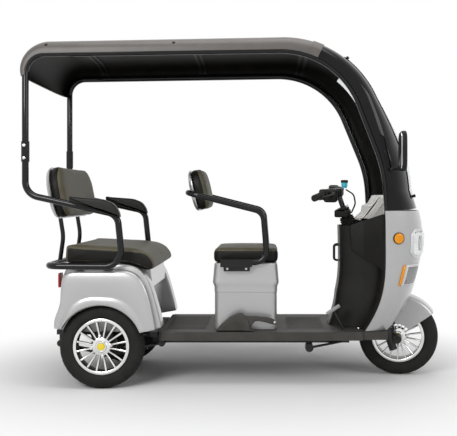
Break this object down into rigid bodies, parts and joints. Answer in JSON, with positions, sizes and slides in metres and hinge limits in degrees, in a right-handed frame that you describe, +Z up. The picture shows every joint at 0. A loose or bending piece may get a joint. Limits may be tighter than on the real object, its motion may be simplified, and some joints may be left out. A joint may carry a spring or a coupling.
{
  "type": "electric passenger tricycle",
  "caption": "Three-wheeled electric passenger vehicle with a driver seat, a rear bench, a tube-framed roof, a swept windscreen and handlebar steering.",
  "frame": {"origin": "on the ground under the middle of the bounding box", "axes": "+X forward, +Y to the vehicle's left, +Z up"},
  "size_m": [2.0951, 1.068, 1.7273],
  "materials": {
    "black_steel": "satin black paint",
    "silver_shell": "silver metallic paint",
    "black_shell": "gloss black",
    "dark_shell": "matte charcoal",
    "black_trim": "grained black",
    "screen": "clear sheet",
    "cushion": "taupe leatherette",
    "rubber": "matte rubber",
    "tyre": "tyre rubber",
    "alloy": "polished alloy",
    "amber": "amber lens",
    "red": "red lens",
    "lens": "clear lens"
  },
  "bodies": {
    "chassis": {"frame": "black_steel", "floor_pan": "dark_shell", "front_cowl": "silver_shell", "leg_shield": "black_trim", "dash": "black_trim", "instrument_hood": "silver_shell", "headlamp": "lens", "front_lamps": "amber", "roof_rear": "dark_shell", "roof_front": "black_shell", "windscreen": "screen", "roof_rails": "black_steel", "roof_straps": "black_steel", "armrest_frames": "black_steel", "armrest_pads": "black_trim", "rear_bar": "black_steel", "bench_back_shell": "silver_shell", "bench_back_pad": "cushion", "bench_box": "silver_shell", "fenders": "silver_shell", "tail_lamps": "red", "driver_box": "silver_shell", "battery": "black_trim", "driver_hoop": "black_steel", "driver_back_shell": "silver_shell", "driver_back_pad": "cushion", "handbrake": "black_trim", "brake_pedal": "alloy", "bag_hook": "black_trim", "rear_axle": "black_steel", "leaf_springs": "black_steel", "mirrors": "black_trim"},
    "steering": {"fork": "black_steel", "bellows": "rubber", "handlebar": "black_steel", "grips": "rubber", "front_fender": "silver_shell"},
    "front_wheel": {"front_tyre": "tyre", "front_rim": "alloy"},
    "right_wheel": {"right_tyre": "tyre", "right_rim": "alloy"},
    "left_wheel": {"left_tyre": "tyre", "left_rim": "alloy"},
    "driver_lid": {"driver_cushion": "cushion"},
    "bench_lid": {"bench_cushion": "cushion"}
  },
  "joints": [
    {"name": "steer", "type": "hinge", "parent": "chassis", "child": "steering", "pos_m": [0.571, 0, 0.819], "axis": [-0.3256, 0, 0.9455], "range_deg": [-24, 48]},
    {"name": "front_wheel_spin", "type": "hinge", "parent": "steering", "child": "front_wheel", "pos_m": [0.83886, -0.01145, 0.20661], "axis": [0.1966, 0.9781, 0.0677], "continuous": true},
    {"name": "right_wheel_spin", "type": "hinge", "parent": "chassis", "child": "right_wheel", "pos_m": [-0.66, -0.31, 0.207], "axis": [0, 1, 0], "continuous": true},
    {"name": "left_wheel_spin", "type": "hinge", "parent": "chassis", "child": "left_wheel", "pos_m": [-0.66, 0.31, 0.207], "axis": [0, 1, 0], "continuous": true},
    {"name": "driver_lid_hinge", "type": "hinge", "parent": "chassis", "child": "driver_lid", "pos_m": [0.208, 0, 0.605], "axis": [0, 1, 0], "range_deg": [0, 80]},
    {"name": "bench_lid_hinge", "type": "hinge", "parent": "chassis", "child": "bench_lid", "pos_m": [-0.392, 0, 0.6], "axis": [0, 1, 0], "range_deg": [0, 70]}
  ]
}
